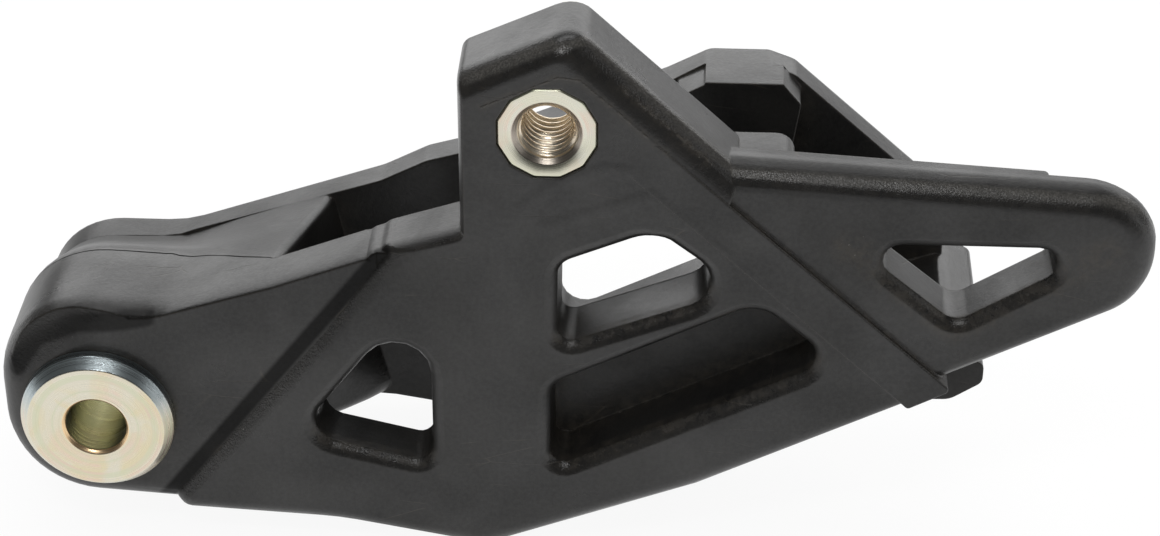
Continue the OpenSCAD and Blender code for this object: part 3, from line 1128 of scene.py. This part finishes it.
@dataclass
class Studio:
    """Camera, lamps, world and floor."""

    eye: tuple[float, float, float] = (83.0 * MM, -331.1 * MM, 236.2 * MM)
    right: tuple[float, float, float] = (0.9986, 0.0505, 0.0)
    back: tuple[float, float, float] = (0.0425, -0.8397, 0.5413)
    focal_px: float = 2930.0
    centre_px: tuple[float, float] = (571.0, 296.0)
    image: tuple[int, int] = (1160, 536)
    floor_z: float = -21.0 * MM
    horizon: tuple[float, float] = (-0.12, 0.015)
    overhead: float = 0.06
    behind: tuple[float, float] = (0.1, 0.9)
    behind_light: float = 0.3
    room_light: float = 0.6
    floor_fade: tuple[float, float] = (-0.42, -0.16)
    front_glow: float = 0.1
    mirrored_share: float = 0.92

    def camera(self) -> bpy.types.Object:
        """Makes the camera at the photograph's viewpoint.

        Returns:
            The camera, set as the scene's camera.
        """
        data = bpy.data.cameras.new("camera")
        width, height = self.image
        data.sensor_width = 36.0
        data.lens = data.sensor_width * self.focal_px / width
        data.shift_x = (width / 2 - self.centre_px[0]) / width
        data.shift_y = (self.centre_px[1] - height / 2) / width
        data.clip_start = 0.01
        data.clip_end = 20.0
        back = Vector(self.back).normalized()
        right = Vector(self.right)
        right = (right - back * right.dot(back)).normalized()
        up = back.cross(right)
        turn = Matrix((right, up, back)).transposed()
        made = bpy.data.objects.new("camera", data)
        made.matrix_world = Matrix.Translation(self.eye) @ turn.to_4x4()
        bpy.context.scene.collection.objects.link(made)
        bpy.context.scene.camera = made
        return made

    def lamps(self) -> list[bpy.types.Object]:
        """Makes the soft lamps."""
        middle = (65 * MM, 20 * MM, 15 * MM)
        boxes = [
            SoftBox("back_box", (0.12, 0.90, 0.52), middle, (1.7, 0.75), 2.15),
            SoftBox("top_box", (0.02, 0.30, 0.95), middle, (0.7, 0.22), 3.2),
            SoftBox("front_box", (0.03, -0.50, 0.73), middle, (0.32, 0.09), 13.0),
            SoftBox("right_box", (0.95, -0.1, 0.25), middle, (0.4, 0.4), 1.0),
        ]
        return [box.build() for box in boxes]

    def seen(self, graph: Graph) -> Socket:
        """Gives 1 for rays from the camera and for mirror and glass rays."""
        path = graph.node("ShaderNodeLightPath")
        first = graph.most(path.outputs["Is Camera Ray"], path.outputs["Is Glossy Ray"])
        return graph.most(first, path.outputs["Is Transmission Ray"])

    def world(self) -> bpy.types.World:
        """Makes the surrounding light, white low down and dim overhead.

        Returns:
            The world of the scene.
        """
        world = bpy.data.worlds.new("studio")
        world.use_nodes = True
        bpy.context.scene.world = world
        graph = Graph(world.node_tree)
        background = world.node_tree.nodes["Background"]
        way = graph.parts(graph.node("ShaderNodeTexCoord").outputs["Generated"])
        low = graph.ramp(way["Z"], *self.horizon, 1.0, self.overhead)
        behind = graph.ramp(way["Y"], *self.behind, 0.0, self.behind_light)
        mirrored = graph.most(low, behind)
        graph.feed(background.inputs["Strength"],
                   graph.blend(self.seen(graph), rgba((self.room_light,) * 3), mirrored))
        background.inputs["Color"].default_value = (1.0, 1.0, 1.0, 1.0)
        return world

    def floor(self) -> bpy.types.Object:
        """Makes the pale floor that the guide stands on.

        Returns:
            The floor.
        """
        shape = bmesh.new()
        bmesh.ops.create_grid(shape, x_segments=1, y_segments=1, size=4.0,
                              matrix=Matrix.Translation((0.06, 0.0, self.floor_z)))
        made = finish_mesh("floor", shape, 30.0)
        material, graph, shader = new_material("floor")
        shader.inputs["Base Color"].default_value = (0.95, 0.95, 0.95, 1.0)
        shader.inputs["Roughness"].default_value = 0.9
        shader.inputs["Specular IOR Level"].default_value = 0.1
        place = graph.parts(graph.node("ShaderNodeTexCoord").outputs["Object"])
        fade = graph.ramp(place["Y"], *self.floor_fade, self.front_glow, 1.0)
        path = graph.node("ShaderNodeLightPath")
        glow = graph.node("ShaderNodeEmission")
        graph.feed(glow.inputs["Strength"],
                   graph.most(fade, path.outputs["Is Camera Ray"]))
        mix = graph.node("ShaderNodeMixShader")
        graph.feed(mix.inputs[0], graph.times(self.seen(graph), self.mirrored_share))
        graph.feed(mix.inputs[1], shader.outputs[0])
        graph.feed(mix.inputs[2], glow.outputs[0])
        output = material.node_tree.nodes["Material Output"]
        graph.feed(output.inputs["Surface"], mix.outputs[0])
        made.data.materials.append(material)
        return made


def main() -> None:
    """Builds every piece and reports it."""
    logging.basicConfig(level=logging.INFO, format="%(message)s")
    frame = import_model()
    scene = bpy.context.scene
    scene.view_settings.view_transform = "Standard"
    studio = Studio()
    studio.camera()
    studio.lamps()
    studio.world()
    studio.floor()
    effects = Effects(grain_group(), edge_group(), speck_group(), line_group(), scratch_group())
    body = MouldedBody(frame["nodes"]["guide_body"])
    bush = FlangedBush()
    insert = ThreadedInsert()
    pieces = [
        body.build(NylonFinish().build(effects)),
        bush.build(PlatedFinish("plated_bush", (0.0, 0.0), bush.bore_r + 0.02 * MM,
                                bush.bore_r + bush.mouth, bush.flange_r - bush.bevel_w
                                ).build(effects)),
        insert.build(PlatedFinish("plated_insert", (insert.x, insert.z), insert.major_r,
                                  insert.mouth_r, insert.corner_r, silver=(0.72, 0.71, 0.62),
                                  yellow=(0.72, 0.70, 0.56), bore=(0.88, 0.76, 0.60),
                                  # mouth: the pinkish tint of the insert's cone, darkened as
                                  # painted shade against its bright reflection
                                  mouth=(0.42, 0.36, 0.32)).build(effects)),
    ]
    for piece in pieces:
        log.info("%s: %d faces", piece.name, len(piece.data.polygons))


if __name__ == "__main__":
    main()
